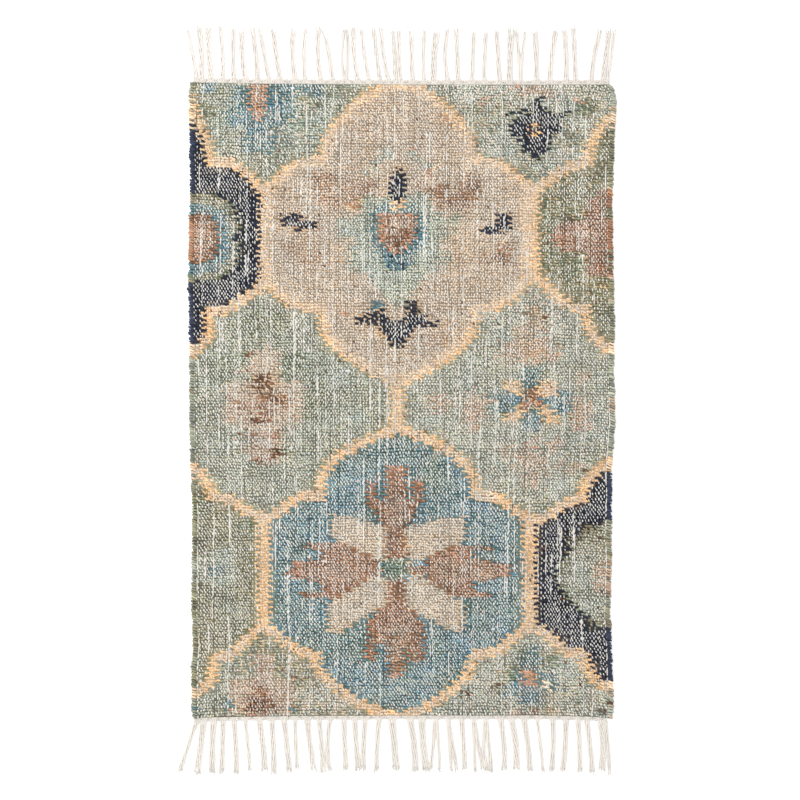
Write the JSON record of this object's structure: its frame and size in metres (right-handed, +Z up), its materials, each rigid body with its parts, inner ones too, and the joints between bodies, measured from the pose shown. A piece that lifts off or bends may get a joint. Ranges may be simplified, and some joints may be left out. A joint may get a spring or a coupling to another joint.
{
  "type": "rug",
  "caption": "Flat hand-woven rug with a lattice and flower pattern, a wrapped roll along each long side and a knotted cotton fringe at each end.",
  "frame": {"origin": "middle of the woven body's underside, on the floor", "axes": "+Y along the rug towards the top fringe, +X to the right, +Z up"},
  "size_m": [0.6195, 1.0604, 0.0066],
  "materials": {
    "cotton": "undyed off-white cotton yarn, matt",
    "ground_yarn": "mixed weft in the shade between the yarns, matt",
    "sage_yarn": "grey-green jute and cotton weft, matt, heathered",
    "olive_yarn": "dark olive weft, matt, heathered",
    "sand_yarn": "natural beige weft, matt, heathered",
    "gold_yarn": "pale gold to apricot weft, matt, heathered",
    "rust_yarn": "rust brown weft, matt, heathered",
    "blue_yarn": "grey-blue weft, matt, heathered",
    "navy_yarn": "dark navy weft, matt, heathered"
  },
  "bodies": {
    "root": {"rug": "ground_yarn", "fringe_top": "cotton", "fringe_bottom": "cotton"}
  },
  "joints": []
}
